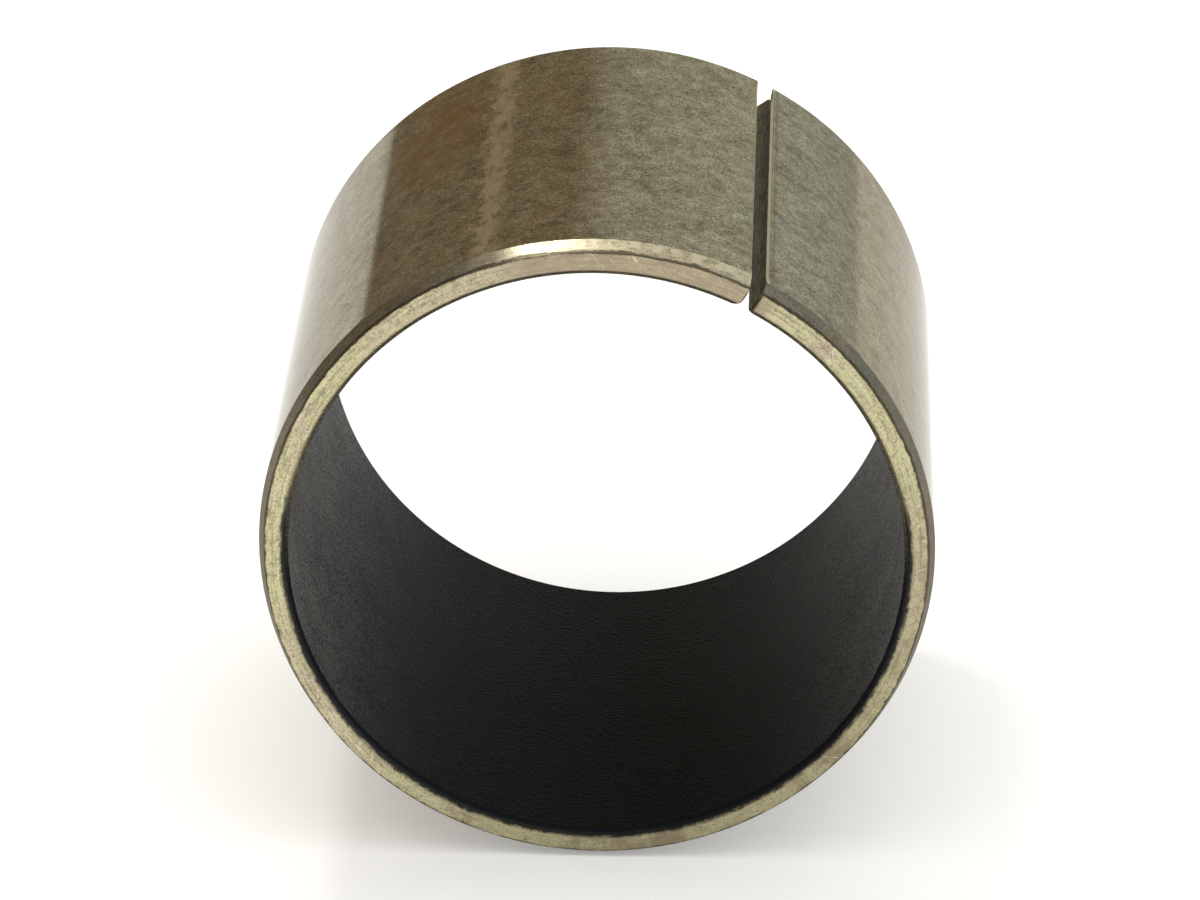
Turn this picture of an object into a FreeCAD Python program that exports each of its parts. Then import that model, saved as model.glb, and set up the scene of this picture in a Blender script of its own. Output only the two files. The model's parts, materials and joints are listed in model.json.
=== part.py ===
import FreeCAD, Part
import math
import os
import Sketcher

# A wrapped plain bearing bush: one strip of three bonded layers, rolled into a ring whose ends
# meet at an open butt seam. The bush lies on its side. Its axis is Y, its front end faces -Y,
# +Z is up, and the origin is the middle of the bore. Sizes are in millimetres and degrees.
#
# Each layer is its own body: a rectangular wall section turned about Y from one side of the
# seam gap round to the other. The end chamfers are then turned through all the layers at once,
# as they are on the real ring. In a body's own frame the seam is at -X, and the body's Placement
# turns the ring until the seam lies at its angle, counted from +X towards +Z.

SIZES = {
    "bore_diameter": 50.0,
    "wall_thickness": 2.5,
    "bush_length": 45.0,
    "sliding_layer": 0.03,
    "sinter_layer": 0.25,
    "inner_chamfer": 0.4,
    "outer_chamfer_length": 1.5,
    "outer_chamfer_angle": 20.0,
    "seam_gap": 1.375,
    "seam_angle": 61.8,
    "rolled_edge_bevel": 0.4,
    "sheared_edge_bevel": 0.12,
    "cutter_overrun": 1.0,
}

BORE_RADIUS = "(Sizes.bore_diameter / 2)"
SINTER_RADIUS = f"({BORE_RADIUS} + Sizes.sliding_layer)"
BACKING_RADIUS = f"({SINTER_RADIUS} + Sizes.sinter_layer)"
OUTSIDE_RADIUS = f"({BORE_RADIUS} + Sizes.wall_thickness)"
HALF_LENGTH = "(Sizes.bush_length / 2)"
LEAD_IN_SLOPE = "tan(Sizes.outer_chamfer_angle * 1 deg)"
GAP_ANGLE = f"(2 * asin(Sizes.seam_gap / (2 * {OUTSIDE_RADIUS})))"

# The sign that takes a distance from mid-length to each end of the bush.
ENDS = {"front": "-", "back": ""}

# The two long edges of the seam, by the sign of the body's own Z there.
ROLLED_EDGE, SHEARED_EDGE = 1, -1

SAME_PLACE = 1e-6


def write_sizes(document):
    """Puts every driving dimension in the spreadsheet, under its own alias."""
    sheet = document.addObject("Spreadsheet::Sheet", "Sizes")
    for row, (alias, value) in enumerate(SIZES.items(), start=1):
        sheet.set(f"A{row}", alias)
        sheet.set(f"B{row}", str(value))
        sheet.setAlias(f"B{row}", alias)
    document.recompute()
    return sheet


def section(body, name, corners):
    """A closed outline in the body's XY plane, where X is the radius and Y runs along the bush.

    Each corner is an expression for its radius and one for its place along the bush. The lines
    start as a small regular polygon, and the corners' distances then pull it into shape.
    """
    sketch = body.newObject("Sketcher::SketchObject", name)
    plane = next(item for item in body.Origin.OriginFeatures if item.Role == "XY_Plane")
    sketch.AttachmentSupport = [(plane, "")]
    sketch.MapMode = "FlatFace"
    count = len(corners)
    turn = 2 * math.pi / count
    starts = [FreeCAD.Vector(math.cos(turn * i), math.sin(turn * i), 0) for i in range(count)]
    for i in range(count):
        sketch.addGeometry(Part.LineSegment(starts[i], starts[(i + 1) % count]), False)
    for i in range(count):
        sketch.addConstraint(Sketcher.Constraint("Coincident", i, 2, (i + 1) % count, 1))
    for i, place in enumerate(corners):
        for kind, expression, start in zip(("DistanceX", "DistanceY"), place, starts[i]):
            number = sketch.addConstraint(Sketcher.Constraint(kind, -1, 1, i, 1, start))
            sketch.setExpression(f"Constraints[{number}]", expression)
    return sketch


def rolled_layer(document, label, inner_radius, outer_radius):
    """A body that holds one layer of the strip, rolled round from one seam edge to the other."""
    body = document.addObject("PartDesign::Body", label)
    body.Label = label
    corners = [
        (inner_radius, f"-{HALF_LENGTH}"),
        (outer_radius, f"-{HALF_LENGTH}"),
        (outer_radius, HALF_LENGTH),
        (inner_radius, HALF_LENGTH),
    ]
    wall = section(body, f"{label}_wall", corners)
    roll = body.newObject("PartDesign::Revolution", f"{label}_roll")
    roll.Profile = wall
    roll.ReferenceAxis = (wall, ["V_Axis"])
    roll.Midplane = True
    roll.setExpression("Angle", f"360 deg - {GAP_ANGLE}")
    about_bore = FreeCAD.Rotation(FreeCAD.Vector(0, 1, 0), 180)
    body.Placement = FreeCAD.Placement(FreeCAD.Vector(), about_bore)
    body.setExpression("Placement.Rotation.Angle", "180 deg - Sizes.seam_angle * 1 deg")
    document.recompute()
    return body


def turn_off(body, name, corners):
    """Turns an outline right round the bush's axis as a cutter, and takes it off the body."""
    volume = body.Shape.Volume
    cutter = section(body, f"{name}_cutter", corners)
    groove = body.newObject("PartDesign::Groove", name)
    groove.Profile = cutter
    groove.ReferenceAxis = (cutter, ["V_Axis"])
    groove.Angle = 360
    body.Document.recompute()
    if not body.Shape.Volume < volume:
        raise RuntimeError(f"{name} took nothing off {body.Label}")


def chamfer_bore(body):
    """Breaks the bore's mouth at 45 degrees at both ends, through as many layers as that meets."""
    inside = f"{BORE_RADIUS} - Sizes.cutter_overrun"
    outside = f"{BORE_RADIUS} + Sizes.inner_chamfer + Sizes.cutter_overrun"
    for end, sign in ENDS.items():
        deep = f"{sign}({HALF_LENGTH} - Sizes.inner_chamfer - Sizes.cutter_overrun)"
        past = f"{sign}({HALF_LENGTH} + Sizes.cutter_overrun)"
        corners = [(inside, deep), (outside, past), (inside, past)]
        turn_off(body, f"{body.Label}_{end}_bore_chamfer", corners)


def chamfer_outside(body):
    """Gives both ends the long, shallow lead-in that guides the bush into its housing."""
    low = f"{OUTSIDE_RADIUS} - (Sizes.outer_chamfer_length + Sizes.cutter_overrun) * {LEAD_IN_SLOPE}"
    high = f"{OUTSIDE_RADIUS} + Sizes.cutter_overrun * {LEAD_IN_SLOPE}"
    for end, sign in ENDS.items():
        deep = f"{sign}({HALF_LENGTH} - Sizes.outer_chamfer_length - Sizes.cutter_overrun)"
        past = f"{sign}({HALF_LENGTH} + Sizes.cutter_overrun)"
        corners = [(low, past), (high, past), (high, deep)]
        turn_off(body, f"{body.Label}_{end}_lead_in", corners)


def seam_edge(shape, radius, side):
    """The name of the straight edge that runs along the seam at this radius, on this side."""
    for number, edge in enumerate(shape.Edges, start=1):
        start, end = (vertex.Point for vertex in edge.Vertexes)
        along_axis = math.hypot(end.x - start.x, end.z - start.z) < SAME_PLACE
        at_radius = abs(math.hypot(start.x, start.z) - radius) < SAME_PLACE
        if along_axis and at_radius and start.z * side > 0:
            return f"Edge{number}"
    raise RuntimeError(f"there is no seam edge at radius {radius}")


def bevel_seam_edge(body, name, radius, side, size_alias):
    """Breaks one long outer edge of the seam, on a layer that has only been rolled so far."""
    base = body.Tip
    bevel = body.newObject("PartDesign::Chamfer", name)
    bevel.Base = (base, [seam_edge(base.Shape, radius, side)])
    bevel.setExpression("Size", f"Sizes.{size_alias}")
    body.Document.recompute()


def make_backing(document, sheet):
    """The rolled bronze strip that carries the load and shows on the outside."""
    body = rolled_layer(document, "bronze_backing", BACKING_RADIUS, OUTSIDE_RADIUS)
    radius = sheet.bore_diameter / 2 + sheet.wall_thickness
    bevel_seam_edge(body, "rolled_edge", radius, ROLLED_EDGE, "rolled_edge_bevel")
    bevel_seam_edge(body, "sheared_edge", radius, SHEARED_EDGE, "sheared_edge_bevel")
    chamfer_outside(body)
    chamfer_bore(body)
    return body


def make_sinter(document):
    """The thin porous bronze layer that keys the sliding layer to the backing."""
    body = rolled_layer(document, "sintered_bronze_layer", SINTER_RADIUS, BACKING_RADIUS)
    chamfer_bore(body)
    return body


def make_liner(document):
    """The dark sliding layer that the shaft runs on."""
    body = rolled_layer(document, "sliding_liner", BORE_RADIUS, SINTER_RADIUS)
    chamfer_bore(body)
    return body


def check(document, bodies):
    """Stops before anything is written if an object failed or a layer isn't one sound solid."""
    for item in document.Objects:
        if "Invalid" in item.State or "Error" in item.State:
            raise RuntimeError(f"{item.Name} failed: {item.State}")
    for body in bodies:
        shape = body.Shape
        if shape.isNull() or not shape.isValid() or len(shape.Solids) != 1:
            raise RuntimeError(f"{body.Label} is not one valid solid")


def main():
    document = FreeCAD.newDocument("WrappedBush")
    sheet = write_sizes(document)
    bodies = [make_backing(document, sheet), make_sinter(document), make_liner(document)]
    document.recompute()
    check(document, bodies)
    os.makedirs("parts", exist_ok=True)
    for body in bodies:
        body.Shape.exportStep(f"parts/{body.Label}.step")
        print(f"{body.Label}: {body.Shape.Volume:.3f} mm3")


main()
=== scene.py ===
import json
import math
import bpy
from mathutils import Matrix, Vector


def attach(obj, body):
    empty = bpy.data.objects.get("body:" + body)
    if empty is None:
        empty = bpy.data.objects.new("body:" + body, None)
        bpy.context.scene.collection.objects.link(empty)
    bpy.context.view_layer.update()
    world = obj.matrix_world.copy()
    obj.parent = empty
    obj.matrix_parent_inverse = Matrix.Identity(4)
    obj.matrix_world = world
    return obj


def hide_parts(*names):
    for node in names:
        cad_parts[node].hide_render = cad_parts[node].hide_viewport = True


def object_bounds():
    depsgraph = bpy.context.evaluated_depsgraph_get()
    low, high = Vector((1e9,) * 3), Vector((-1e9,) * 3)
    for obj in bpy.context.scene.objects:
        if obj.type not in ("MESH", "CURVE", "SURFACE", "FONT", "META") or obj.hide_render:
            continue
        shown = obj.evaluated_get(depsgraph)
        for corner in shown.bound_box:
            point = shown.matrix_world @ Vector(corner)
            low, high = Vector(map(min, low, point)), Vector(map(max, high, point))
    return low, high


bl_info = {
    "name": "Wrapped Plain Bearing Bush",
    "version": (1, 0, 0),
    "blender": (4, 5, 0),
    "location": "3D View > Sidebar > Bush",
    "description": "Builds the finished look of a wrapped bronze bush around its packed CAD layers",
    "category": "Object",
}

import bpy
from bpy.props import FloatProperty, FloatVectorProperty, IntProperty, PointerProperty
from mathutils import Matrix, Vector

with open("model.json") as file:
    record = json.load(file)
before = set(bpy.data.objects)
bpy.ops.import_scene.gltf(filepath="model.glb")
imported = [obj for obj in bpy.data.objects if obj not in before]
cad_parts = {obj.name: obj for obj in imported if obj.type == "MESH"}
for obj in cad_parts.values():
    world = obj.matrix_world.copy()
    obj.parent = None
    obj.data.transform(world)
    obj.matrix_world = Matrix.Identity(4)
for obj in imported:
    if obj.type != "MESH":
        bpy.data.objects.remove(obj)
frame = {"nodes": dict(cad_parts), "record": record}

CAD_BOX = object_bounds()
MOUNTS = {mount["name"]: mount["dims"] for mount in frame["record"]["mounts"]}
MM = 0.001
MM_PER_METRE = 1000.0
BORE_RADIUS = MOUNTS["shaft_bore"]["r_mm"] * MM
OUTSIDE_RADIUS = MOUNTS["housing_seat"]["r_mm"] * MM
BUSH_LENGTH = CAD_BOX[1][1] - CAD_BOX[0][1]
BORE_CHAMFER = (BUSH_LENGTH - MOUNTS["shaft_bore"]["length_mm"] * MM) / 2
LEAD_IN_LENGTH = (BUSH_LENGTH - MOUNTS["housing_seat"]["length_mm"] * MM) / 2


def wall_radii(node):
    """The inner and outer radius of one of the CAD layers."""
    reach = [math.hypot(vertex.co.x, vertex.co.z) for vertex in frame["nodes"][node].data.vertices]
    return min(reach), max(reach)


# ---------------------------------------------------------------- node trees written as formulas


class Value:
    """One output of a node, used in formulas: an operator adds the Math node that does it."""

    def __init__(self, nodes, socket):
        self.nodes = nodes
        self.socket = socket

    def maths(self, operation, *others):
        return self.nodes.maths(operation, self, *others)

    def __add__(self, other):
        return self.maths("ADD", other)

    def __radd__(self, other):
        return self.nodes.maths("ADD", other, self)

    def __sub__(self, other):
        return self.maths("SUBTRACT", other)

    def __rsub__(self, other):
        return self.nodes.maths("SUBTRACT", other, self)

    def __mul__(self, other):
        return self.maths("MULTIPLY", other)

    def __rmul__(self, other):
        return self.nodes.maths("MULTIPLY", other, self)

    def __truediv__(self, other):
        return self.maths("DIVIDE", other)

    def __neg__(self):
        return self.maths("MULTIPLY", -1.0)

    def __abs__(self):
        return self.maths("ABSOLUTE")

    def __gt__(self, other):
        return self.maths("GREATER_THAN", other)

    def __lt__(self, other):
        return self.maths("LESS_THAN", other)

    def at_least(self, other):
        return self.maths("MAXIMUM", other)

    def at_most(self, other):
        return self.maths("MINIMUM", other)

    def held(self):
        """This value kept from 0 to 1."""
        return self.at_least(0.0).at_most(1.0)

    def above_zero(self, blend):
        """This value where it is over 0 and 0 elsewhere, with the corner rounded over blend."""
        return self.maths("SMOOTH_MAX", 0.0, blend)

    def sin(self):
        return self.maths("SINE")

    def cos(self):
        return self.maths("COSINE")

    def root(self):
        """The square root, or 0 below 0."""
        return self.at_least(0.0).maths("SQRT")

    def ramp(self, low, high):
        """A smooth mask of this value: 0 at low, 1 at high."""
        return self.nodes.add("ShaderNodeMapRange", {"interpolation_type": "SMOOTHSTEP"},
                              {"Value": self, "From Min": low, "From Max": high})

    def band(self, low, high, soft):
        """A mask of 1 from low to high, fading to 0 over soft on each side."""
        return self.ramp(low - soft, low) * self.ramp(high + soft, high)

    def parts(self):
        """The three parts of a vector."""
        split = self.nodes.add("ShaderNodeSeparateXYZ", {}, {"Vector": self})
        return [Value(self.nodes, socket) for socket in split.socket.node.outputs]


class Nodes:
    """Adds nodes to one node tree."""

    def __init__(self, tree):
        self.tree = tree

    def add(self, kind, settings=None, inputs=None, output=0):
        """Adds a node, sets it up, gives its sockets values or links, and returns an output."""
        node = self.tree.nodes.new(kind)
        for name, value in (settings or {}).items():
            setattr(node, name, value)
        for key, value in (inputs or {}).items():
            self.feed(self.find(node.inputs, key), value)
        return Value(self, self.find(node.outputs, output)) if node.outputs else None

    def find(self, sockets, key):
        """The socket at a place in the list, or the one in use that has a name."""
        if isinstance(key, int):
            return sockets[key]
        return next(socket for socket in sockets if socket.enabled and socket.name == key)

    def feed(self, socket, value):
        """Links a socket to a value, or sets the socket's own number or colour."""
        if isinstance(value, Value):
            self.tree.links.new(value.socket, socket)
        elif socket.type == "RGBA":
            socket.default_value = (*value[:3], 1.0)
        else:
            socket.default_value = value

    def maths(self, operation, *values):
        return self.add("ShaderNodeMath", {"operation": operation}, dict(enumerate(values)))

    def vector(self, x=0.0, y=0.0, z=0.0):
        return self.add("ShaderNodeCombineXYZ", {}, {"X": x, "Y": y, "Z": z})

    def scaled(self, vector, factors):
        """A vector with each part multiplied by its own factor."""
        return self.add("ShaderNodeVectorMath", {"operation": "MULTIPLY"}, {0: vector, 1: factors})

    def colour(self, amount, first, second):
        """The first colour where amount is 0, the second where it is 1."""
        return self.add("ShaderNodeMix", {"data_type": "RGBA", "clamp_factor": True},
                        {"Factor": amount, "A": first, "B": second}, "Result")

    def coats(self, colour, *layers):
        """A colour with others laid over it in turn, each by its own mask."""
        for amount, over in layers:
            colour = self.colour(amount, colour, over)
        return colour

    def noise(self, place, scale, detail=3.0, rough=0.55, warp=0.0):
        """Smooth random values about 0.5."""
        return self.add("ShaderNodeTexNoise", {"noise_dimensions": "3D", "normalize": True},
                        {"Vector": place, "Scale": scale, "Detail": detail, "Roughness": rough,
                         "Distortion": warp})

    def drawn_noise(self, x, y, z, detail, rough=0.55):
        """Noise over a place given part by part, so that it can be drawn out one way."""
        return self.noise(self.vector(x, y, z), 1.0, detail, rough)

    def cells(self, place, scale):
        """Distance to the nearest of randomly scattered points."""
        return self.add("ShaderNodeTexVoronoi", {"voronoi_dimensions": "3D", "feature": "F1"},
                        {"Vector": place, "Scale": scale, "Randomness": 1.0}, "Distance")


# ---------------------------------------------------------------- the wrapped layer's shape

# Cells are small in a zone beside the seam and in one at each end.
SEAM_ZONE, SEAM_CELLS = 3.0 * MM, 22
END_ZONE, END_CELLS = 2.5 * MM, 10

# The sides of a layer, as the region attribute numbers them.
OUTSIDE, END, SEAM, INSIDE = range(4)

# How far round from the seam the shape of its walls is felt.
WALL_SHAPE_REACH = 2.2 * MM

# The front corners are rounded least at the outside, by this share, and grow to their full size
# between these two depths in the wall. The sheared wall's corners take a share of the cuts.
FRONT_LEAST, FRONT_DEPTHS = 0.2, (0.1, 0.6)
SHEARED_FRONT_SHARE, SHEARED_BACK_SHARE = 0.5, 0.12

# The back notch in the rolled wall starts under a thin skin, loses most of its depth towards the
# bore, and is flat along the strip before it runs out.
NOTCH_SKIN, NOTCH_TAPER = 0.08, 0.78
NOTCH_FLAT, NOTCH_END = 0.6 * MM, 1.3 * MM

# Rounding where a chamfer or a bevel starts.
LEAD_IN_BLEND, CHAMFER_BLEND = 0.03 * MM, 0.02 * MM
ROLLED_BLEND, SHEARED_BLEND = 0.08 * MM, 0.04 * MM

# Edge wear: how far the lead-in's root wanders, how deep roughness and nicks cut as shares of the
# wear, and how quickly they set in, per metre.
ROOT_WANDER = 1.6
LEAD_IN_ROUGH, RIM_ROUGH, NICK_DEPTH = 0.35, 0.2, 0.5
LEAD_IN_WEAR_RISE, RIM_WEAR_RISE = 6000.0, 5000.0

# The seam's bevels run out over the last 1 / 20 of each half of the length.
BEVEL_RUN_OUT = 20.0

BLOCK_SIDE = 0.49999
SHARP_BEND = math.radians(15)

LAYER_INPUTS = {
    "NodeSocketFloat": (
        "Inner Radius", "Outer Radius", "Inner Break", "Outer Break", "Chamfer Root",
        "Lead-in Root", "Lead-in Slope", "Reference Radius", "Length", "Seam Angle", "Gap Angle",
        "Rolled Bevel", "Sheared Bevel", "Front Corner", "Back Corner", "Wall Thickness",
        "Rolled Slant", "Sheared Bulge", "Sheared Round", "Edge Wear", "Seed"),
    "NodeSocketInt": (
        "Cells Around", "Cells Along", "Inner Cells", "Middle Cells", "Outer Cells"),
    "NodeSocketMaterial": ("Finish",),
}


def spread(count, total_count, zone_count, zone, total):
    """Distance along a side whose cells are small for a zone at each end and even between."""
    left = total_count - count
    step = (total - 2 * zone) / (total_count - 2 * zone_count)
    middle = (count - zone_count).at_least(0.0).at_most(total_count - 2 * zone_count)
    return (zone / zone_count * count.at_most(zone_count) + step * middle
            + zone * (1 - left.at_most(zone_count) / zone_count))


def corner_drop(distance, size):
    """How far a rounded corner of that size falls away, at a distance from the corner."""
    inside = (size - distance).at_least(0.0)
    return size - (size * size - inside * inside).root()


def layer_rule():
    """The node tree that rolls a block of cells into one layer of the ring."""
    tree = bpy.data.node_groups.new("Wrapped Layer", "GeometryNodeTree")
    tree.interface.new_socket(name="Geometry", in_out="OUTPUT", socket_type="NodeSocketGeometry")
    for kind, names in LAYER_INPUTS.items():
        for name in names:
            tree.interface.new_socket(name=name, in_out="INPUT", socket_type=kind)
    nodes = Nodes(tree)
    given = tree.nodes.new("NodeGroupInput")
    size = {socket.name: Value(nodes, socket) for socket in given.outputs if socket.name}

    through = size["Inner Cells"] + size["Middle Cells"] + size["Outer Cells"]
    block = nodes.add("GeometryNodeMeshCube", {}, {
        "Size": (1.0, 1.0, 1.0), "Vertices X": size["Cells Around"] + 1,
        "Vertices Y": size["Cells Along"] + 1, "Vertices Z": through + 1})
    across, along, deep = nodes.add("GeometryNodeInputPosition").parts()

    # Where each point of the block goes: round the strip, along it, and through its thickness.
    arc = (2 * math.pi - size["Gap Angle"]) * size["Reference Radius"]
    reach = spread((across + 0.5) * size["Cells Around"], size["Cells Around"],
                   SEAM_CELLS, SEAM_ZONE, arc)
    from_sheared = arc - reach
    from_front = spread((along + 0.5) * size["Cells Along"], size["Cells Along"],
                        END_CELLS, END_ZONE, size["Length"])
    lengthwise = from_front / size["Length"] * 2 - 1
    from_middle = abs(lengthwise)
    behind = along > 0
    cell = (deep + 0.5) * through
    inner_share = (cell / size["Inner Cells"]).held()
    middle_share = ((cell - size["Inner Cells"]) / size["Middle Cells"]).held()
    outer_share = ((cell - size["Inner Cells"] - size["Middle Cells"]) / size["Outer Cells"]).held()
    station = (size["Inner Radius"]
               + (size["Inner Break"] - size["Inner Radius"]) * inner_share
               + (size["Outer Break"] - size["Inner Break"]) * middle_share
               + (size["Outer Radius"] - size["Outer Break"]) * outer_share)

    # The seam's walls: the rolled one leans into the gap at the bore, and the sheared one bulges
    # in the middle and is rounded where it meets the bore.
    wall_depth = (size["Reference Radius"] - station) / size["Wall Thickness"]
    lean = size["Rolled Slant"] * wall_depth * (1 - reach / WALL_SHAPE_REACH).held()
    above_bore = size["Wall Thickness"] * (1 - wall_depth)
    swell = (size["Sheared Bulge"] * (wall_depth * math.pi).sin()
             - corner_drop(above_bore, size["Sheared Round"]))
    swell = swell * (1 - from_sheared / WALL_SHAPE_REACH).held()
    angle = (size["Seam Angle"] - size["Gap Angle"] / 2
             - (reach - lean + swell) / size["Reference Radius"])

    # Wear is read on a circle, so that it meets itself and is the same in every layer.
    circle = nodes.vector(angle.cos(), along.maths("SIGN") * 2 + size["Seed"], angle.sin())
    slow = nodes.noise(circle, 2.2, 2.0)
    quick = nodes.noise(circle, 34.0, 3.0)
    nick = nodes.noise(circle, 75.0, 2.0).ramp(0.62, 0.78)
    wear = size["Edge Wear"]

    # The ends: both chamfers, worn, and the seam's corners.
    past_lead = (station - size["Lead-in Root"]
                 - (slow - 0.5) * wear * ROOT_WANDER).above_zero(LEAD_IN_BLEND)
    past_bore = (size["Chamfer Root"] - station).above_zero(CHAMFER_BLEND)
    front_cut = size["Front Corner"] * wall_depth.ramp(*FRONT_DEPTHS).at_least(FRONT_LEAST)
    front_cut = front_cut * (1 - behind)
    back_cut = (size["Back Corner"] * wall_depth.ramp(0.0, NOTCH_SKIN)
                * (1 - NOTCH_TAPER * wall_depth) * behind)
    seam_cut = (corner_drop(reach, front_cut) + reach.ramp(NOTCH_END, NOTCH_FLAT) * back_cut
                + corner_drop(from_sheared,
                              front_cut * SHEARED_FRONT_SHARE + back_cut * SHEARED_BACK_SHARE))
    lead_in_wear = ((quick * LEAD_IN_ROUGH + nick * NICK_DEPTH) * wear
                    * (past_lead * LEAD_IN_WEAR_RISE).held())
    half = (size["Length"] / 2 - past_bore - past_lead / size["Lead-in Slope"]
            - seam_cut - lead_in_wear)

    # The outside: the seam's bevels, and the worn rim of each end.
    bevel = ((size["Rolled Bevel"] - reach).above_zero(ROLLED_BLEND)
             + (size["Sheared Bevel"] - from_sheared).above_zero(SHEARED_BLEND))
    bevel = bevel * ((1 - from_middle) * BEVEL_RUN_OUT).held()
    rim = (1 - (half - from_middle * half) * RIM_WEAR_RISE).held()
    depth = (station - size["Inner Radius"]) / (size["Outer Radius"] - size["Inner Radius"])
    radius = station - depth * (bevel + rim * (quick * RIM_ROUGH + nick * NICK_DEPTH) * wear)

    seam_side = abs(across) > BLOCK_SIDE
    end_side = (abs(along) > BLOCK_SIDE) * (1 - seam_side)
    inner_side = (deep < -BLOCK_SIDE) * (1 - seam_side) * (1 - end_side)
    region = END * end_side + SEAM * seam_side + INSIDE * inner_side
    marked = nodes.add("GeometryNodeStoreNamedAttribute", {"data_type": "FLOAT", "domain": "FACE"},
                       {"Geometry": block, "Name": "region", "Value": region})
    strip = nodes.vector(reach, from_front, station)
    marked = nodes.add("GeometryNodeStoreNamedAttribute",
                       {"data_type": "FLOAT_VECTOR", "domain": "POINT"},
                       {"Geometry": marked, "Name": "strip", "Value": strip})
    placed = nodes.vector(radius * angle.cos(), lengthwise * half, radius * angle.sin())
    rolled = nodes.add("GeometryNodeSetPosition", {}, {"Geometry": marked, "Position": placed})
    bend = nodes.add("GeometryNodeInputMeshEdgeAngle")
    faces = nodes.add("GeometryNodeSetShadeSmooth", {"domain": "FACE"},
                      {"Geometry": rolled, "Shade Smooth": True})
    edges = nodes.add("GeometryNodeSetShadeSmooth", {"domain": "EDGE"},
                      {"Geometry": faces, "Selection": bend > SHARP_BEND, "Shade Smooth": False})
    real = nodes.add("GeometryNodeRealizeInstances", {}, {"Geometry": edges})
    dressed = nodes.add("GeometryNodeSetMaterial", {},
                        {"Geometry": real, "Material": size["Finish"]})
    nodes.add("NodeGroupOutput", {}, {"Geometry": dressed})
    return tree


def roll_layer(name, node, settings):
    """Runs the rule with these settings and leaves a plain mesh that stands for the CAD layer."""
    rule = bpy.data.node_groups.get("Wrapped Layer") or layer_rule()
    piece = bpy.data.objects.new(name, bpy.data.meshes.new(name))
    bpy.context.scene.collection.objects.link(piece)
    modifier = piece.modifiers.new("Wrapped Layer", "NODES")
    modifier.node_group = rule
    for item in rule.interface.items_tree:
        if item.item_type == "SOCKET" and item.in_out == "INPUT":
            modifier[item.identifier] = settings[item.name]
    graph = bpy.context.evaluated_depsgraph_get()
    mesh = bpy.data.meshes.new_from_object(piece.evaluated_get(graph),
                                           preserve_all_data_layers=True, depsgraph=graph)
    if not mesh.polygons:
        raise RuntimeError(f"the rule made no faces for {name}")
    mesh.name = name
    piece.modifiers.clear()
    piece.data = mesh
    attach(piece, "root")
    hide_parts(node)
    return piece


# ---------------------------------------------------------------- finishes

# Marks on the outside. Angles are in degrees from +X towards +Z, and lengths in millimetres.
GRAIN_SLANT = 0.8
# Painted reflection: the streak is a pale ragged band along the whole length at about 109°,
# standing for a reflected strip of light.
STREAK_ZONE, STREAK_SOFT, STREAK_WANDER = (109.6, 108.5), 1.2, 4.5
TINT_ANGLE, TINT_FROM_FRONT = 121.0, 35.0
TINT_HALF_WIDTH, TINT_HALF_LENGTH = 5.6, 15.0
# Painted reflection: the outside is greyed from 134° to 200° and beside the seam, where it mirrors
# grey bands of the room's light.
REFLECTED_GREY_ZONE, REFLECTED_GREY_SOFT, REFLECTED_GREY_BY_SEAM = (200.0, 134.0), 2.0, (15.0, 6.0)
ROLLED_RUB, SHEARED_RUB, BESIDE_RUB = (0.34, 0.12), (0.2, 0.05), (0.42, 0.6, 0.12)

# Parts of the ends, by angle. A zone is its start, its end and its soft edge, and the others are
# the angle where they are nothing and the one where they are full.
TARNISHED_ZONES = ((129.0, 100.0, 4.0), (223.0, 197.0, 4.0), (360.0, 344.0, 3.0))
# The end faces are duller towards the bottom and the right: patchy dirt, and painted shade low
# down.
GRIME_AND_SHADE_RISE, GRIME_AND_SHADE_FALL = (45.0, 305.0), (215.0, 280.0)
HANDLED_LEFT, HANDLED_RIGHT = (112.0, 100.0), (56.5, 59.0)
# The lead-in is pale from 100° to the seam: partly its own tone, partly painted highlight of the
# light above.
PALE_LIT_LEAD_IN = (108.0, 100.0)
# The lower half of the ends, where the dark ring round the bore chamfer is painted wider and darker
# as shade.
SHADED_LOW_ZONE = (365.0, 175.0, 8.0)

# The dark line about the lead-in's root: its start, its end and its soft edge. The lining smeared
# about the bore chamfer's root: where it is nothing and where it is full, and how much more low
# down, where the extra width and darkness is painted shade.
GROOVE = (-0.04, 0.05, 0.09)
SMEAR_FADE, SMEAR_FULL = (0.16, 0.3), (-0.02, 0.12)

SEAM_WALL_ROUGH, HIDDEN_ROUGH = 0.5, 0.4

# Heights in millimetres between which the sinter is painted as dark as the lining, partly the
# lining's edge smeared over it and partly painted shade towards the bottom, and between which the
# lining is painted paler as sheen on the sides of the bore.
DRAGGED_AND_SHADED = (7.0, -3.0)
SHEEN_FROM_BELOW, SHEEN_FROM_ABOVE = (-22.0, -3.0), (16.0, 4.0)


def new_finish(name):
    """An empty material, and the means to fill it."""
    material = bpy.data.materials.new(name)
    material.use_nodes = True
    material.node_tree.nodes.clear()
    return material, Nodes(material.node_tree)


def close_finish(nodes, settings, bump_height, bump_distance):
    """Adds the surface shader, fed by these settings, and the bump that works on it."""
    normal = nodes.add("ShaderNodeBump", {}, {"Strength": 1.0, "Distance": bump_distance,
                                              "Height": bump_height})
    surface = nodes.add("ShaderNodeBsdfPrincipled", {}, {**settings, "Normal": normal})
    nodes.add("ShaderNodeOutputMaterial", {}, {"Surface": surface})


def places_in_mm(nodes):
    """The place on the object, in millimetres."""
    return nodes.scaled(nodes.add("ShaderNodeTexCoord", {}, {}, "Object"), (MM_PER_METRE,) * 3)


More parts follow.
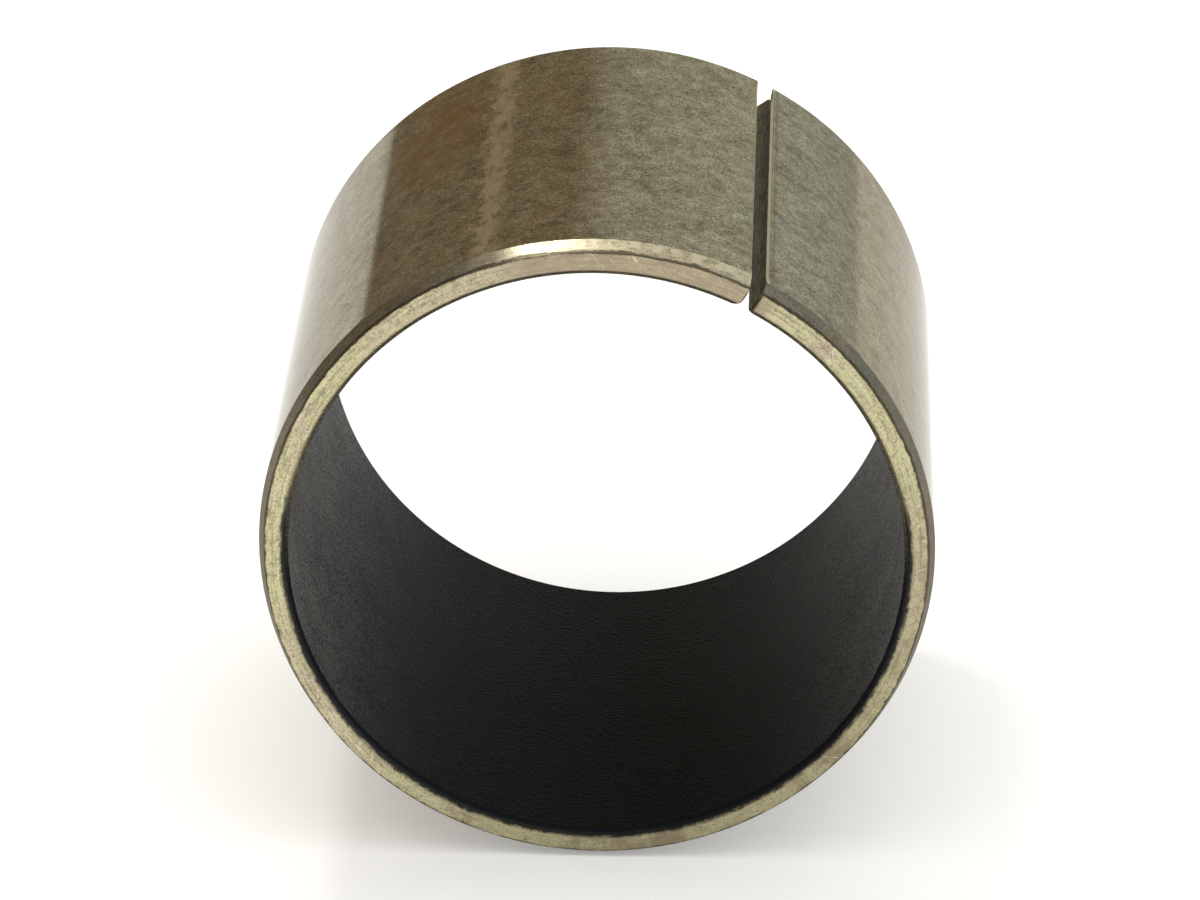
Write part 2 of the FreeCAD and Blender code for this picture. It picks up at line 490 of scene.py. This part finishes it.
class Strip:
    """Places on the rolled strip, in millimetres, and masks of its sides."""

    def __init__(self, nodes, sizes):
        strip = nodes.add("ShaderNodeAttribute",
                          {"attribute_type": "GEOMETRY", "attribute_name": "strip"}, {}, "Vector")
        self.around, self.along, self.radius = (part * MM_PER_METRE for part in strip.parts())
        region = nodes.add("ShaderNodeAttribute",
                           {"attribute_type": "GEOMETRY", "attribute_name": "region"}, {}, "Fac")
        self.sides = [(region > number - 0.5) * (region < number + 0.5)
                      for number in (OUTSIDE, END, SEAM, INSIDE)]
        self.places = places_in_mm(nodes)
        lead_in_depth = sizes.lead_in_length * math.tan(sizes.lead_in_angle)
        self.lead_in_root = (sizes.outside_radius - lead_in_depth) * MM_PER_METRE
        self.chamfer_root = (sizes.bore_radius + sizes.bore_chamfer) * MM_PER_METRE
        self.whole = (2 * math.pi - sizes.gap_angle) * sizes.outside_radius * MM_PER_METRE
        self.per_degree = sizes.outside_radius * MM_PER_METRE * math.pi / 180
        self.start = math.degrees(sizes.seam_angle - sizes.gap_angle / 2)

    def at(self, angle):
        """Millimetres round the strip at an angle in degrees from +X towards +Z."""
        return ((self.start - angle) % 360) * self.per_degree

    def fade(self, start, end):
        """A mask that rises from 0 at one angle to 1 at the other."""
        return self.around.ramp(self.at(start), self.at(end))

    def zone(self, start, end, soft):
        """A mask of 1 between two angles, fading over soft millimetres on each side."""
        return self.around.band(self.at(start), self.at(end), soft)


def oxidised_outside(nodes, look, strip):
    """Colour, roughness and height of the outside: mottled, stained, with a slanting grain."""
    around, along = strip.around, strip.along
    slow = nodes.noise(strip.places, 0.16, 3.0)
    mid = nodes.noise(strip.places, 0.9, 4.0, 0.65)
    fine = nodes.noise(strip.places, 5.2, 3.0, 0.8)
    patches = nodes.noise(strip.places, 0.42, 5.0, 0.7, 0.6)
    with_slant, across_slant = around * GRAIN_SLANT + along, around - along * GRAIN_SLANT
    grain = nodes.drawn_noise(with_slant * 4.2, across_slant * 0.9, 0.0, 4.0, 0.7)
    dashes = nodes.drawn_noise(with_slant * 2.6, across_slant * 0.6, 5.0, 3.0, 0.7)
    dashes = dashes.ramp(0.56, 0.68) * patches.ramp(0.47, 0.56)
    specks = (nodes.cells(strip.places, 1.1).ramp(0.16, 0.06)
              * nodes.noise(strip.places, 0.35, 2.0).ramp(0.5, 0.62))

    ragged = nodes.drawn_noise(around * 0.9, along * 0.22, 7.0, 6.0, 0.75)
    streak_start, streak_end = (strip.at(angle) for angle in STREAK_ZONE)
    # Painted reflection: a pale band along the whole length.
    streak = (around + (mid - 0.5) * STREAK_WANDER).band(streak_start, streak_end, STREAK_SOFT)
    streak = streak * ragged.ramp(0.37, 0.54)
    tint_side = (around - strip.at(TINT_ANGLE)) / TINT_HALF_WIDTH
    tint_end = (along - TINT_FROM_FRONT) / TINT_HALF_LENGTH
    tint = (1 - (tint_side * tint_side + tint_end * tint_end)).held()
    tint = tint * (0.35 + 0.65 * patches.ramp(0.38, 0.58))
    # Painted reflection: greys the outside along the bands that it mirrors.
    grey = around.ramp(*REFLECTED_GREY_BY_SEAM).at_least(strip.zone(*REFLECTED_GREY_ZONE, REFLECTED_GREY_SOFT))
    sheared_rub = around.ramp(*(strip.whole - distance for distance in SHEARED_RUB))
    seam_rub = around.ramp(*ROLLED_RUB).at_least(sheared_rub)

    colour = nodes.coats(
        nodes.colour(slow.ramp(0.35, 0.66), look.oxide_olive, look.oxide_brown),
        (grey * 0.6, look.reflection_grey),
        (patches.ramp(0.50, 0.66) * 0.55, look.oxide_dark),
        (patches.ramp(0.48, 0.34) * 0.5, look.oxide_pale),
        (mid.ramp(0.42, 0.68) * 0.6, look.oxide_pale),
        (grain.ramp(0.52, 0.66) * 0.5, look.oxide_dark),
        (fine.ramp(0.5, 0.60) * 0.75, look.oxide_dark),
        (fine.ramp(0.46, 0.36) * 0.6, look.oxide_pale),
        (dashes * 0.75, look.oxide_dark),
        (tint * 0.7, look.heat_tint),
        (streak * 0.85, look.painted_sheen),
        (specks * 0.7, look.oxide_dark),
        (around.band(*BESIDE_RUB) * 0.35, look.oxide_dark),
        (seam_rub * 0.8, look.edge_pale),
    )
    rough = 0.02 + slow * 0.02 + mid * 0.025 + fine * 0.01 + seam_rub * 0.3
    return colour, rough, grain * 0.06 + mid * 0.03 + fine * 0.07 - specks * 0.5


def turned_ends(nodes, look, strip, fine_stain):
    """Colour, roughness and height of the ends: bright turned faces inside dull lead-ins."""
    around, along, radius = strip.around, strip.along, strip.radius
    rings = nodes.drawn_noise(radius * 16.0, around * 0.05, 0.0, 2.0)
    drawn = nodes.drawn_noise(radius * 3.2, around * 0.35, along, 4.0, 0.7)
    lines = nodes.drawn_noise(radius * 5.0, around * 0.11, along, 5.0, 0.7)
    stain = nodes.noise(strip.places, 0.25, 4.0, 0.65)
    gritty = nodes.noise(strip.places, 5.5, 3.0, 0.8)
    pits = nodes.cells(strip.places, 1.6).ramp(0.14, 0.05) * fine_stain.ramp(0.45, 0.6)
    scratch = nodes.drawn_noise(around * 2.4 + radius * 2.0, radius * 0.25, 3.0, 3.0, 0.8)
    scratch = scratch.ramp(0.60, 0.66) * stain.ramp(0.5, 0.56)

    first, second, third = (strip.zone(*zone) for zone in TARNISHED_ZONES)
    tarnish = first.at_least(second).at_least(third) * fine_stain.ramp(0.36, 0.56) * 0.8
    tarnish = tarnish.at_least(stain.ramp(0.48, 0.66))
    # Duller towards the bottom and the right: patchy dirt, and painted shade low down.
    grime_and_shade = strip.fade(*GRIME_AND_SHADE_RISE) * strip.fade(*GRIME_AND_SHADE_FALL)
    handled = strip.fade(*HANDLED_LEFT).at_least(strip.fade(*HANDLED_RIGHT))
    shaded_low = strip.zone(*SHADED_LOW_ZONE)

    bright = nodes.coats(
        nodes.colour(tarnish, look.turned_yellow, look.turned_tan),
        (lines.ramp(0.52, 0.64) * 0.65, look.turned_dull),
        (lines.ramp(0.46, 0.34) * 0.4, look.turned_clean),
        (drawn.ramp(0.52, 0.68) * 0.6, look.turned_dull),
        (drawn.ramp(0.46, 0.34) * 0.35, look.turned_clean),
        (fine_stain.ramp(0.54, 0.66) * 0.6, look.turned_dull),
        (gritty.ramp(0.52, 0.62) * 0.65, look.turned_dull),
        (gritty.ramp(0.44, 0.34) * 0.5, look.turned_clean),
        (grime_and_shade * (0.55 + 0.45 * stain.ramp(0.4, 0.56)) * 0.8, look.turned_dull),
        (handled * (0.6 + 0.4 * drawn.ramp(0.42, 0.6)), look.lead_in_tan),
        (scratch * 0.7, look.turned_clean),
        (pits * 0.85, look.pit),
    )
    dull = nodes.coats(
        nodes.colour(stain.ramp(0.4, 0.7) * 0.35, look.lead_in_grey, look.lead_in_tan),
        # Partly painted highlight: the lead-in is pale near the top by the seam.
        (strip.fade(*PALE_LIT_LEAD_IN), look.lead_in_pale_lit),
        (fine_stain.ramp(0.46, 0.64) * 0.6, look.oxide_dark),
        (drawn.ramp(0.5, 0.7) * 0.5, look.oxide_dark),
        (gritty.ramp(0.46, 0.34) * 0.5, look.turned_tan),
    )

    wander = (fine_stain - 0.5) * 0.4 + (drawn - 0.5) * 0.3
    low, high, soft = GROOVE
    groove = (radius + wander).band(strip.lead_in_root + low, strip.lead_in_root + high, soft)
    # On the lower half the dark ring is painted wider and darker: painted shade.
    fade, full = (strip.chamfer_root + offset + shaded_low * lower
                  for offset, lower in (SMEAR_FADE, SMEAR_FULL))
    smear_and_shade = (radius + wander * (1 + shaded_low)).ramp(fade, full)
    lead_in = strip.sides[END] * (radius > strip.lead_in_root)
    colour = nodes.coats(
        bright,
        (lead_in, dull),
        (groove * 0.85, look.pit),
        (smear_and_shade * (0.35 + 0.6 * shaded_low), look.smear_and_shade),
    )
    rough = 0.30 + stain * 0.1 + gritty * 0.1 - lead_in * 0.06
    return colour, rough, rings * 0.4 + fine_stain * 0.6 + gritty * 0.3 - pits - groove * 0.9


def seam_walls(nodes, look, strip, fine_stain):
    """Colour and height of the seam's walls, which are torn through their thickness. Their dark
    colour is partly painted shade of the narrow gap.
    """
    torn = nodes.drawn_noise(strip.radius * 7.0, strip.along * 0.35, strip.around * 0.2, 4.0, 0.7)
    colour = nodes.colour(torn.ramp(0.40, 0.60), look.pit, look.seam_dark_and_shaded)
    return nodes.colour(fine_stain.ramp(0.5, 0.64) * 0.5, colour, look.oxide_olive), torn


def rolled_bronze(look, sizes):
    """Rolled bronze, oxidised outside, turned at the ends and torn in the seam."""
    material, nodes = new_finish("rolled_bronze")
    strip = Strip(nodes, sizes)
    fine_stain = nodes.noise(strip.places, 1.3, 5.0, 0.8)
    colour, rough, height = oxidised_outside(nodes, look, strip)
    end_colour, end_rough, end_height = turned_ends(nodes, look, strip, fine_stain)
    wall_colour, wall_height = seam_walls(nodes, look, strip, fine_stain)
    outside, end, seam, inside = strip.sides
    colour = nodes.coats(colour, (end, end_colour), (seam, wall_colour))
    rough = rough * outside + end_rough * end + SEAM_WALL_ROUGH * seam + HIDDEN_ROUGH * inside
    height = outside * height + end * end_height + seam * wall_height
    close_finish(nodes, {"Base Color": colour, "Metallic": 1.0, "Roughness": rough,
                         "Specular Tint": (0.58, 0.56, 0.52)}, height, 0.02 * MM)
    return material


def sintered_bronze(look):
    """Porous sintered powder, cut through where it shows."""
    material, nodes = new_finish("sintered_bronze")
    places = places_in_mm(nodes)
    grains = nodes.cells(places, 9.0)
    stain = nodes.noise(places, 1.2, 3.0)
    level = places.parts()[2]
    colour = nodes.coats(
        nodes.colour(grains.ramp(0.25, 0.6), look.sinter, look.pit),
        (stain.ramp(0.4, 0.7) * 0.5, look.oxide_dark),
        # Partly painted shade: the sinter darkens towards the bottom of the ring, with the lining's
        # edge smeared over it.
        (level.ramp(*DRAGGED_AND_SHADED), look.smear_and_shade),
    )
    close_finish(nodes, {"Base Color": colour, "Metallic": 0.8, "Roughness": 0.45 + stain * 0.2},
                 -grains, 0.03 * MM)
    return material


def lining(look):
    """Dark polymer skin with an even fine grain, painted paler as sheen on the sides of the bore.
    """
    material, nodes = new_finish("sliding_lining")
    places = places_in_mm(nodes)
    level = places.parts()[2]
    # Painted sheen: the lining is paler on the sides of the bore, between these heights.
    painted_sheen = level.ramp(*SHEEN_FROM_BELOW) * level.ramp(*SHEEN_FROM_ABOVE)
    peel = nodes.cells(places, 3.0)
    fine = nodes.noise(places, 4.5, 3.0, 0.75)
    slow = nodes.noise(places, 0.12, 3.0)
    pale = nodes.colour(painted_sheen, look.lining_dull, look.lining_sheen)
    colour = nodes.colour((fine * 0.8 + slow * 0.2).ramp(0.42, 0.60), look.lining_dark, pale)
    rough = 0.36 + slow * 0.1 + fine * 0.1
    close_finish(nodes, {"Base Color": colour, "Metallic": 0.0, "Roughness": rough,
                         "Specular IOR Level": 0.045}, peel * 0.8 + fine * 1.2, 0.18 * MM)
    return material


# ---------------------------------------------------------------- settings


def length(name, description, default):
    return FloatProperty(name=name, description=description, default=default, subtype="DISTANCE",
                         unit="LENGTH", precision=6)


def turn(name, description, degrees):
    return FloatProperty(name=name, description=description, default=math.radians(degrees),
                         subtype="ANGLE", unit="ROTATION")


def paint(name, description, *rgb):
    return FloatVectorProperty(name=name, description=description, default=rgb, subtype="COLOR",
                               size=3, min=0.0, max=1.0)


class BushSizes(bpy.types.PropertyGroup):
    """Sizes of the bush that its finished layers are rolled to."""

    bore_radius: length("Bore Radius", "Radius of the lined bore", BORE_RADIUS)
    outside_radius: length("Outside Radius", "Radius that presses into the housing", OUTSIDE_RADIUS)
    bush_length: length("Length", "Length from end face to end face", BUSH_LENGTH)
    bore_chamfer: length("Bore Chamfer", "Chamfer at each end of the bore", BORE_CHAMFER)
    lead_in_length: length("Lead-in Length", "Length of the outside chamfers", LEAD_IN_LENGTH)
    lead_in_angle: turn("Lead-in Angle", "Slope of the outside chamfers", 20.0)
    seam_angle: turn("Seam Angle", "Where the seam lies, from +X towards +Z", 61.8)
    gap_angle: turn("Gap Angle", "Opening of the seam, seen from the axis", 2.865)
    rolled_bevel: length("Rolled Bevel", "Bevel of the seam's rolled edge", 0.24 * MM)
    sheared_bevel: length("Sheared Bevel", "Bevel of the seam's sheared edge", 0.12 * MM)
    front_corner: length("Front Corner", "Rounding of the seam's front corners", 0.45 * MM)
    back_corner: length("Back Corner", "Cut of the rolled wall's corner at the back end", 3.4 * MM)
    rolled_slant: length("Rolled Slant", "How far the rolled wall leans in at the bore", 0.28 * MM)
    sheared_bulge: length("Sheared Bulge", "How far the sheared wall swells into the gap", 0.2 * MM)
    sheared_round: length("Sheared Round", "Rounding of the sheared wall at the bore", 0.6 * MM)
    edge_wear: length("Edge Wear", "How far the turned edges wander and are nicked", 0.06 * MM)
    cells_around: IntProperty(name="Cells Around", description="Cells round the ring", default=520,
                              min=80)
    cells_along: IntProperty(name="Cells Along", description="Cells along the ring", default=58,
                             min=30)


class BushLook(bpy.types.PropertyGroup):
    """Colours of the bush's finishes."""

    oxide_olive: paint("Olive Oxide", "Oxidised outside, olive parts", 0.375, 0.35, 0.246)
    oxide_brown: paint("Brown Oxide", "Oxidised outside, brown parts", 0.358, 0.30, 0.205)
    # Painted reflection: the grey laid along the outside's mirrored bands.
    reflection_grey: paint("Grey Oxide", "Oxidised outside, grey parts", 0.36, 0.354, 0.295)
    oxide_pale: paint("Pale Oxide", "Mottling on the outside", 0.62, 0.59, 0.475)
    oxide_dark: paint("Dark Oxide", "Grain, specks and stains", 0.115, 0.099, 0.063)
    heat_tint: paint("Heat Tint", "Orange stain on the outside", 0.36, 0.22, 0.10)
    # Painted reflection: the pale of the streak along the outside.
    painted_sheen: paint("Rubbed Metal", "Where the oxide is rubbed through", 0.66, 0.60, 0.46)
    edge_pale: paint("Pale Edge", "Rubbed long edges of the seam", 0.70, 0.74, 0.60)
    # Partly painted shade of the narrow gap in the seam.
    seam_dark_and_shaded: paint("Seam Wall", "Walls of the seam", 0.24, 0.215, 0.11)
    turned_yellow: paint("Turned Yellow", "End faces, clean bronze", 0.56, 0.535, 0.325)
    turned_clean: paint("Turned Clean", "End faces, scratched bright", 0.76, 0.74, 0.52)
    turned_tan: paint("Turned Tan", "End faces, tarnished bronze", 0.51, 0.43, 0.325)
    turned_dull: paint("Turned Dull", "End faces, dull patches", 0.215, 0.18, 0.11)
    lead_in_grey: paint("Lead-in Grey", "Outside chamfers, grey-green parts", 0.17, 0.168, 0.142)
    # Partly painted highlight of the light above the lead-in.
    lead_in_pale_lit: paint("Lead-in Pale", "Outside chamfers by the sheared edge", 0.60, 0.56, 0.42)
    lead_in_tan: paint("Lead-in Tan", "Outside chamfers and handled faces", 0.36, 0.29, 0.215)
    pit: paint("Pit", "Bottoms of pits and grooves", 0.045, 0.036, 0.025)
    # Also painted shade: the same near-black darkens the ends round the bore on the lower half and
    # the sinter low in the ring.
    smear_and_shade: paint("Smear", "Lining dragged over the bore chamfer", 0.006, 0.008, 0.014)
    sinter: paint("Sinter", "Cut faces of the sintered layer", 0.40, 0.33, 0.23)
    lining_dark: paint("Lining Dark", "Lining, darker parts", 0.001, 0.0011, 0.0014)
    lining_dull: paint("Lining Dull", "Lining, grain low in the bore", 0.0065, 0.007, 0.0085)
    # Painted sheen on the sides of the bore.
    lining_sheen: paint("Lining Pale", "Lining, paler grain", 0.21, 0.207, 0.20)


class StageSizes(bpy.types.PropertyGroup):
    """The floor, the lights and the camera."""

    floor_size: length("Floor Size", "Width of the floor", 40.0)
    view_turn: turn("View Turn", "Camera's turn to the right of straight in front", 2.04)
    view_height: turn("View Height", "Camera's angle above level", 24.93)
    view_distance: FloatProperty(name="View Distance", default=18.924,
                                 description="Camera's distance, in outside radii")
    aim_right: FloatProperty(name="Aim Right", default=0.0168,
                             description="Shift of the bush in the view, in outside radii")
    aim_up: FloatProperty(name="Aim Up", default=0.0248,
                          description="Lift of the bush in the view, in outside radii")
    lens: FloatProperty(name="Lens", description="Focal length in millimetres", default=185.03)


# ---------------------------------------------------------------- pieces

WEAR_SEED = 3.0


def shared_settings(sizes, material):
    """The rule's inputs that every layer shares."""
    slope = math.tan(sizes.lead_in_angle)
    return {
        "Chamfer Root": sizes.bore_radius + sizes.bore_chamfer,
        "Lead-in Root": sizes.outside_radius - sizes.lead_in_length * slope,
        "Lead-in Slope": slope,
        "Reference Radius": sizes.outside_radius,
        "Length": sizes.bush_length,
        "Seam Angle": sizes.seam_angle,
        "Gap Angle": sizes.gap_angle,
        "Rolled Bevel": 0.0,
        "Sheared Bevel": 0.0,
        "Front Corner": sizes.front_corner,
        "Back Corner": sizes.back_corner,
        "Wall Thickness": sizes.outside_radius - sizes.bore_radius,
        "Rolled Slant": sizes.rolled_slant,
        "Sheared Bulge": sizes.sheared_bulge,
        "Sheared Round": sizes.sheared_round,
        "Edge Wear": sizes.edge_wear,
        "Seed": WEAR_SEED,
        "Cells Around": sizes.cells_around,
        "Cells Along": sizes.cells_along,
        "Finish": material,
    }


def thin_layer_settings(node):
    """The rule's inputs for a layer under the backing: its wall is three even cells."""
    inner, outer = wall_radii(node)
    return {
        "Inner Radius": inner,
        "Outer Radius": outer,
        "Inner Break": inner + (outer - inner) / 3,
        "Outer Break": inner + (outer - inner) * 2 / 3,
        "Inner Cells": 1,
        "Middle Cells": 1,
        "Outer Cells": 1,
    }


class BUSH_OT_backing(bpy.types.Operator):
    """Roll the bronze backing, with its lead-in chamfers and its seam edges"""

    bl_idname = "bush.backing"
    bl_label = "Bronze Backing"

    def execute(self, context):
        sizes, look = context.scene.bush_sizes, context.scene.bush_look
        settings = shared_settings(sizes, rolled_bronze(look, sizes))
        inner, outer = wall_radii("bronze_backing")
        settings.update({
            "Inner Radius": inner, "Outer Radius": outer,
            "Inner Break": settings["Chamfer Root"], "Outer Break": settings["Lead-in Root"],
            "Rolled Bevel": sizes.rolled_bevel, "Sheared Bevel": sizes.sheared_bevel,
            "Inner Cells": 2, "Middle Cells": 12, "Outer Cells": 10,
        })
        roll_layer("rolled_backing", "bronze_backing", settings)
        return {"FINISHED"}


class BUSH_OT_sinter(bpy.types.Operator):
    """Roll the sintered layer that is bonded inside the backing"""

    bl_idname = "bush.sinter"
    bl_label = "Sintered Layer"

    def execute(self, context):
        sizes, look = context.scene.bush_sizes, context.scene.bush_look
        settings = shared_settings(sizes, sintered_bronze(look))
        settings.update(thin_layer_settings("sintered_bronze_layer"))
        roll_layer("sintered_powder_layer", "sintered_bronze_layer", settings)
        return {"FINISHED"}


class BUSH_OT_lining(bpy.types.Operator):
    """Roll the sliding lining that makes the bore"""

    bl_idname = "bush.lining"
    bl_label = "Sliding Lining"

    def execute(self, context):
        sizes, look = context.scene.bush_sizes, context.scene.bush_look
        settings = shared_settings(sizes, lining(look))
        settings.update(thin_layer_settings("sliding_liner"))
        roll_layer("lining_skin", "sliding_liner", settings)
        return {"FINISHED"}


# ---------------------------------------------------------------- stage

FLOOR_GAP = 0.01 * MM
STAGE_BUMP = 0.001 * MM

# The outside mirrors a sheet on the floor, and the slanted far edge of the sheet makes the two
# sharp bands along it. The edge runs between these two places.
SHEET_EDGE_RIGHT, SHEET_EDGE_LEFT = (0.65, 0.35), (-1.0, 1.34)

BACKDROP_SIDES, BACKDROP_RADIUS, BACKDROP_HEIGHT = 96, 3.0, 6.0

# The room's light, by where it comes from: dull brown on the left, warm grey, cool white on the
# right, and a warm glow high up. Each fades in between two parts of the direction.
ROOM_LEFT, ROOM_MIDDLE = (0.42, 0.35, 0.26), (0.68, 0.67, 0.59)
ROOM_RIGHT, ROOM_GLOW = (0.80, 0.82, 0.77), (0.95, 0.90, 0.80)
MIDDLE_FADE, RIGHT_FADE = (-0.12, 0.02), (0.0, 0.35)
GLOW_RISE, GLOW_SIDE = (0.5, 0.86), (-0.55, -0.25)

WHITE = (1.0, 1.0, 1.0)

# Each light's name, direction, distance, width, power, colour, and whether the bush mirrors it.
LIGHTS = (
    ("spark", (-0.24, 0.429, 0.877), 1.0, 0.14, 1.8, (1.0, 0.96, 0.84), True),
    ("overhead", (-0.05, 0.15, 1.0), 0.75, 1.0, 2.4, WHITE, False),
    ("fill_left", (-0.8, -0.5, 0.9), 1.6, 1.2, 2.0, WHITE, False),
    ("fill_right", (0.8, -0.5, 0.9), 1.6, 1.2, 2.0, WHITE, False),
)


def pale_floor():
    """Matt pale grey, with a little light of its own."""
    material, nodes = new_finish("pale_floor")
    tone = nodes.noise(nodes.add("ShaderNodeTexCoord", {}, {}, "Object"), 6.0, 3.0)
    colour = nodes.colour(tone, (0.79, 0.80, 0.83), (0.83, 0.84, 0.87))
    close_finish(nodes, {"Base Color": colour, "Roughness": 0.9,
                         "Emission Color": (0.97, 0.98, 1.0), "Emission Strength": 0.26},
                 tone, STAGE_BUMP)
    return material


def pale_backdrop():
    """An even pale glow."""
    material, nodes = new_finish("pale_backdrop")
    close_finish(nodes, {"Base Color": (0.0, 0.0, 0.0), "Roughness": 1.0,
                         "Emission Color": (0.99, 0.99, 1.0), "Emission Strength": 0.86},
                 0.5, STAGE_BUMP)
    return material


def stage_cover(name, points, faces, material):
    """A plain mesh round or under the bush."""
    mesh = bpy.data.meshes.new(name)
    mesh.from_pydata(points, [], faces)
    mesh.materials.append(material)
    cover = bpy.data.objects.new(name, mesh)
    bpy.context.scene.collection.objects.link(cover)
    return cover


def room_light():
    """The soft light of the room, which is mirrored in the bush's outside."""
    world = bpy.data.worlds.new("room")
    world.use_nodes = True
    world.node_tree.nodes.clear()
    nodes = Nodes(world.node_tree)
    side, _, up = nodes.add("ShaderNodeTexCoord", {}, {}, "Generated").parts()
    room = nodes.coats(
        nodes.colour(side.ramp(*MIDDLE_FADE), ROOM_LEFT, ROOM_MIDDLE),
        (side.ramp(*RIGHT_FADE), ROOM_RIGHT),
        (up.ramp(*GLOW_RISE) * side.ramp(*GLOW_SIDE), ROOM_GLOW),
    )
    sky = nodes.add("ShaderNodeBackground", {}, {"Color": room, "Strength": 1.0})
    nodes.add("ShaderNodeOutputWorld", {}, {"Surface": sky})
    return world


def soft_light(name, direction, distance, width, power, colour, mirrored):
    """A square light that faces the bush from a direction."""
    light = bpy.data.lights.new(name, "AREA")
    light.shape = "RECTANGLE"
    light.size = light.size_y = width
    light.energy = power
    light.color = colour
    lamp = bpy.data.objects.new(name, light)
    bpy.context.scene.collection.objects.link(lamp)
    lamp.location = Vector(direction).normalized() * distance
    lamp.rotation_euler = Vector(direction).to_track_quat("Z", "Y").to_euler()
    lamp.visible_glossy = mirrored


class BUSH_OT_stage(bpy.types.Operator):
    """Lay the floor, hang the lights and set the camera"""

    bl_idname = "bush.stage"
    bl_label = "Stage"

    def execute(self, context):
        scene, stage = context.scene, context.scene.bush_stage
        radius = scene.bush_sizes.outside_radius
        edge = stage.floor_size / 2
        sheet_level = -radius - FLOOR_GAP
        floor_level = sheet_level - FLOOR_GAP

        material = pale_floor()
        outline = ((-edge, -edge), (edge, -edge), (edge, edge), (-edge, edge))
        points = [(x, y, floor_level) for x, y in outline]
        floor = stage_cover("floor", points, [range(len(points))], material)
        floor.visible_glossy = False
        outline = ((-edge, -edge), (edge, -edge), (edge, SHEET_EDGE_RIGHT[1]), SHEET_EDGE_RIGHT,
                   SHEET_EDGE_LEFT, (-edge, SHEET_EDGE_LEFT[1]))
        points = [(x, y, sheet_level) for x, y in outline]
        sheet = stage_cover("sheet", points, [range(len(points))], material)

        turns = [2 * math.pi * i / BACKDROP_SIDES for i in range(BACKDROP_SIDES)]
        ring = [(BACKDROP_RADIUS * math.cos(a), BACKDROP_RADIUS * math.sin(a)) for a in turns]
        points = [(x, y, z) for z in (sheet_level, BACKDROP_HEIGHT) for x, y in ring]
        pairs = [(i, (i + 1) % BACKDROP_SIDES) for i in range(BACKDROP_SIDES)]
        faces = [(after, i, i + BACKDROP_SIDES, after + BACKDROP_SIDES) for i, after in pairs]
        backdrop = stage_cover("backdrop", points, faces, pale_backdrop())
        for kind in ("diffuse", "glossy", "transmission", "volume_scatter", "shadow"):
            setattr(backdrop, f"visible_{kind}", False)

        scene.world = room_light()
        for light in LIGHTS:
            soft_light(*light)

        turned, raised = stage.view_turn, stage.view_height
        towards = Vector((math.sin(turned) * math.cos(raised),
                          -math.cos(turned) * math.cos(raised), math.sin(raised)))
        right = Vector((math.cos(turned), math.sin(turned), 0.0))
        above = towards.cross(right)
        camera = bpy.data.objects.new("camera", bpy.data.cameras.new("camera"))
        scene.collection.objects.link(camera)
        spot = radius * (stage.view_distance * towards - stage.aim_right * right
                         - stage.aim_up * above)
        facing = Matrix((right, above, towards)).transposed().to_4x4()
        camera.matrix_world = Matrix.Translation(spot) @ facing
        camera.data.sensor_width = 36.0
        camera.data.lens = stage.lens
        camera.data.clip_start = 0.01
        camera.data.clip_end = 100.0
        scene.camera = camera
        scene.view_settings.view_transform = "Standard"
        scene.view_settings.look = "None"
        return {"FINISHED"}


class BUSH_PT_panel(bpy.types.Panel):
    """The bush's pieces and settings, in the 3D view's sidebar"""

    bl_idname = "BUSH_PT_panel"
    bl_label = "Bush"
    bl_space_type = "VIEW_3D"
    bl_region_type = "UI"
    bl_category = "Bush"

    def draw(self, context):
        layout, scene = self.layout, context.scene
        for operator in (BUSH_OT_backing, BUSH_OT_sinter, BUSH_OT_lining, BUSH_OT_stage):
            layout.operator(operator.bl_idname)
        for group in (scene.bush_sizes, scene.bush_look, scene.bush_stage):
            box = layout.box()
            for name in group.__annotations__:
                box.prop(group, name)


CLASSES = (BushSizes, BushLook, StageSizes, BUSH_OT_backing, BUSH_OT_sinter, BUSH_OT_lining,
           BUSH_OT_stage, BUSH_PT_panel)


def register():
    for item in CLASSES:
        bpy.utils.register_class(item)
    bpy.types.Scene.bush_sizes = PointerProperty(type=BushSizes)
    bpy.types.Scene.bush_look = PointerProperty(type=BushLook)
    bpy.types.Scene.bush_stage = PointerProperty(type=StageSizes)


def unregister():
    del bpy.types.Scene.bush_stage
    del bpy.types.Scene.bush_look
    del bpy.types.Scene.bush_sizes
    for item in reversed(CLASSES):
        bpy.utils.unregister_class(item)


def main():
    register()
    bpy.ops.bush.backing()
    bpy.ops.bush.sinter()
    bpy.ops.bush.lining()
    bpy.ops.bush.stage()


if __name__ == "__main__":
    main()
